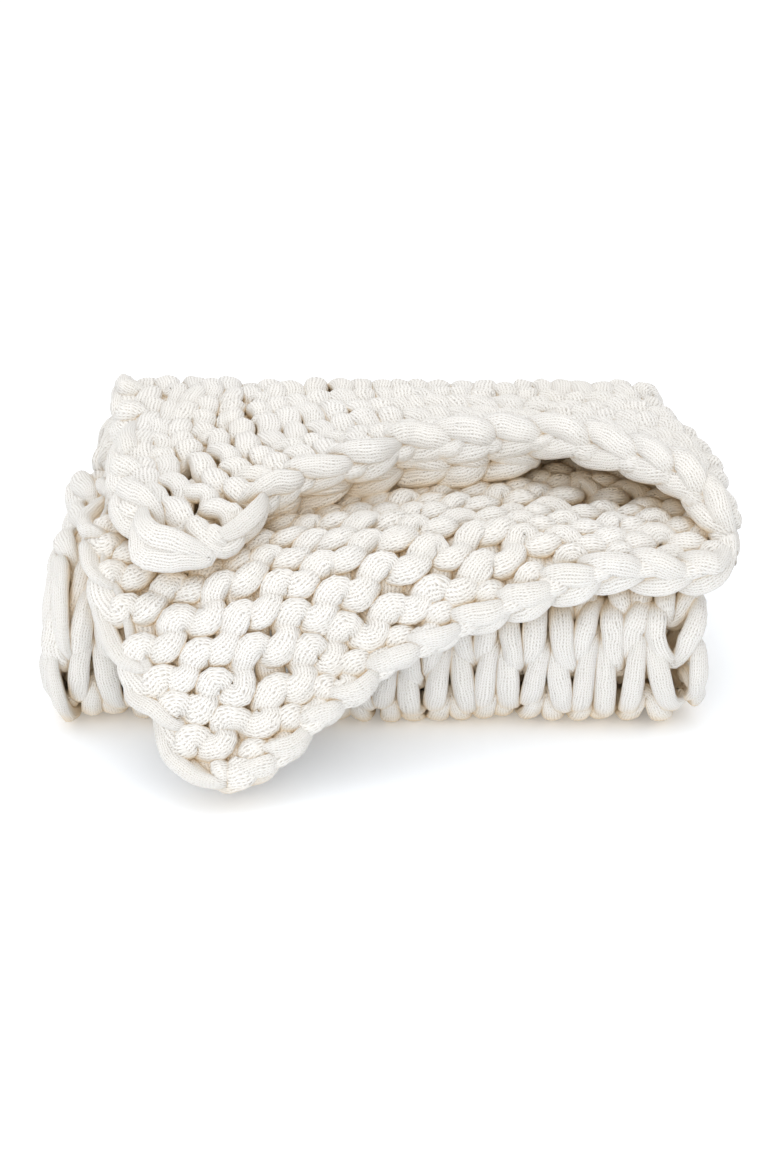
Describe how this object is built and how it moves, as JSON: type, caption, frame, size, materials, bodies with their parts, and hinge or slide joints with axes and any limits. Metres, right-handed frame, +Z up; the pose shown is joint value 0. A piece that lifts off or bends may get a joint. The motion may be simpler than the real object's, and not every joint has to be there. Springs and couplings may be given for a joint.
{
  "type": "folded throw blanket",
  "caption": "Chunky hand-knitted throw folded into a stack, with its top end splayed and one corner draped to the surface in front.",
  "frame": {"origin": "on the resting surface, under the middle of the folded throw's box", "axes": "+Z up, -Y towards the draped front, +X towards the folded side, along the longest extent"},
  "size_m": [0.6508, 0.5206, 0.2645],
  "materials": {
    "cream_tube_yarn": "matt knitted cotton tube yarn, cream, with fine lengthwise ribs of small stitches"
  },
  "bodies": {
    "root": {"back_fold_inner_leaf": "cream_tube_yarn", "back_fold_inner_selvedge": "cream_tube_yarn", "back_fold_outer_leaf": "cream_tube_yarn", "back_fold_outer_selvedge": "cream_tube_yarn", "back_fold_side_fold": "cream_tube_yarn", "bottom_panel_lower_leaf": "cream_tube_yarn", "bottom_panel_lower_selvedge": "cream_tube_yarn", "bottom_panel_side_fold": "cream_tube_yarn", "bottom_panel_upper_leaf": "cream_tube_yarn", "bottom_panel_upper_selvedge": "cream_tube_yarn", "bound_edge_lower_leaf": "cream_tube_yarn", "bound_edge_side_fold": "cream_tube_yarn", "bound_edge_upper_leaf": "cream_tube_yarn", "cast_on_edge_lower_leaf": "cream_tube_yarn", "cast_on_edge_lower_selvedge": "cream_tube_yarn", "cast_on_edge_side_fold": "cream_tube_yarn", "cast_on_edge_upper_leaf": "cream_tube_yarn", "cast_on_edge_upper_selvedge": "cream_tube_yarn", "draped_end": "cream_tube_yarn", "draped_end_selvedge": "cream_tube_yarn", "front_fold_inner_leaf": "cream_tube_yarn", "front_fold_inner_selvedge": "cream_tube_yarn", "front_fold_outer_leaf": "cream_tube_yarn", "front_fold_outer_selvedge": "cream_tube_yarn", "front_fold_side_fold": "cream_tube_yarn", "middle_panel_lower_leaf": "cream_tube_yarn", "middle_panel_lower_selvedge": "cream_tube_yarn", "middle_panel_side_fold": "cream_tube_yarn", "middle_panel_upper_leaf": "cream_tube_yarn", "middle_panel_upper_selvedge": "cream_tube_yarn", "top_panel_lower_leaf": "cream_tube_yarn", "top_panel_lower_selvedge": "cream_tube_yarn", "top_panel_side_fold": "cream_tube_yarn", "top_panel_upper_leaf": "cream_tube_yarn", "top_panel_upper_selvedge": "cream_tube_yarn"}
  },
  "joints": []
}
